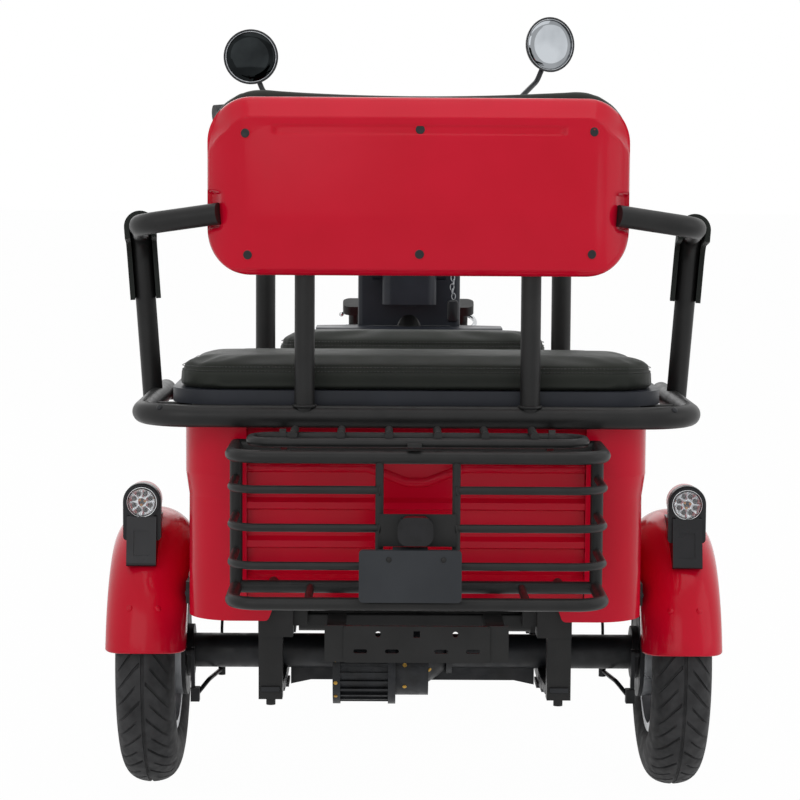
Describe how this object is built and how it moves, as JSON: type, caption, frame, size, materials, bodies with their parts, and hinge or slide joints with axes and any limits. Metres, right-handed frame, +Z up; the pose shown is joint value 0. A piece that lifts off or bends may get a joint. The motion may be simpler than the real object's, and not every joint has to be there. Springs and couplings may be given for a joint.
{
  "type": "electric tricycle",
  "caption": "Electric tricycle with a steered front wheel, rider's seat, rear bench with armrests over a trunk, and a rear rack.",
  "frame": {"origin": "middle of the footprint, on the floor under the tyres", "axes": "+X to the vehicle's right, +Y in the direction of travel, +Z up"},
  "size_m": [0.814, 1.8014, 1.108],
  "materials": {
    "tyre": "matte rubber",
    "rim_metal": "painted cast aluminium",
    "black_steel": "satin black powder coat",
    "axle_steel": "black paint",
    "motor_metal": "black painted cast aluminium",
    "red_plastic": "high gloss",
    "black_plastic": "moulded, slightly glossy",
    "vinyl": "black vinyl, fine grain",
    "pad_foam": "soft moulded",
    "plate_grey": "matte",
    "smoked": "smoked lens",
    "clear_lens": "clear moulded lens",
    "mirror": "silvered glass",
    "chrome": "bright",
    "battery": "plain case",
    "rubber": "soft grip"
  },
  "bodies": {
    "chassis": {"main_frame": "black_steel", "leaf_springs": "axle_steel", "axle_housing": "axle_steel", "gearbox": "motor_metal", "motor": "motor_metal", "brake_plates": "axle_steel", "brake_linkage": "axle_steel", "body_side_left": "red_plastic", "body_side_right": "red_plastic", "body_rear_panel": "red_plastic", "body_front_panel": "red_plastic", "trunk_floor": "black_steel", "seat_frame": "black_steel", "arm_frames": "black_steel", "arm_pads": "pad_foam", "backrest_posts": "black_steel", "backrest_shell": "red_plastic", "backrest_cushion": "vinyl", "rack_frame": "black_steel", "plate_lamp": "smoked", "number_plate_holder": "plate_grey", "lamp_backs": "red_plastic", "tow_plate": "black_steel", "rear_fenders": "red_plastic", "fender_brackets": "black_steel", "lamp_housings": "black_plastic", "lamp_lenses": "clear_lens", "footboard": "black_plastic", "front_apron": "red_plastic", "knee_box": "black_plastic", "column_cover": "black_plastic", "seat_box": "red_plastic", "battery_pack": "battery", "rider_backrest": "vinyl"},
    "bench": {"bench_base": "black_plastic", "bench_cushion": "vinyl"},
    "rider_seat": {"rider_seat_base": "black_plastic", "rider_seat_cushion": "vinyl"},
    "rack_lid": {"rack_lid": "black_steel"},
    "steering": {"fork": "black_steel", "fork_springs": "chrome", "handlebar": "black_steel", "handlebar_grips": "rubber", "instrument_housing": "black_plastic", "headlamp": "chrome", "headlamp_lens": "clear_lens", "mirrors": "black_plastic", "mirror_glass": "mirror", "front_fender": "red_plastic"},
    "front_wheel": {"front_tyre": "tyre", "front_rim": "rim_metal"},
    "wheel_left": {"tyre_left": "tyre", "rim_left": "rim_metal"},
    "wheel_right": {"tyre_right": "tyre", "rim_right": "rim_metal"}
  },
  "joints": [
    {"name": "steer", "type": "hinge", "parent": "chassis", "child": "steering", "pos_m": [0, 0.68427, 0.16871], "axis": [0, -0.342, 0.9397], "range_deg": [-40, 40]},
    {"name": "front_wheel_spin", "type": "hinge", "parent": "steering", "child": "front_wheel", "pos_m": [0, 0.71528, 0.18], "axis": [1, 0, 0], "continuous": true},
    {"name": "left_wheel_spin", "type": "hinge", "parent": "chassis", "child": "wheel_left", "pos_m": [-0.356, -0.43472, 0.18], "axis": [1, 0, 0], "continuous": true},
    {"name": "right_wheel_spin", "type": "hinge", "parent": "chassis", "child": "wheel_right", "pos_m": [0.356, -0.43472, 0.18], "axis": [1, 0, 0], "continuous": true},
    {"name": "bench_lid", "type": "hinge", "parent": "chassis", "child": "bench", "pos_m": [0, -0.33372, 0.547], "axis": [-1, 0, 0], "range_deg": [0, 60]},
    {"name": "rider_seat_lid", "type": "hinge", "parent": "chassis", "child": "rider_seat", "pos_m": [0, 0.07128, 0.5545], "axis": [-1, 0, 0], "range_deg": [0, 70]},
    {"name": "rack_lid_hinge", "type": "hinge", "parent": "chassis", "child": "rack_lid", "pos_m": [0, -0.78372, 0.514], "axis": [-1, 0, 0], "range_deg": [0, 90]}
  ]
}
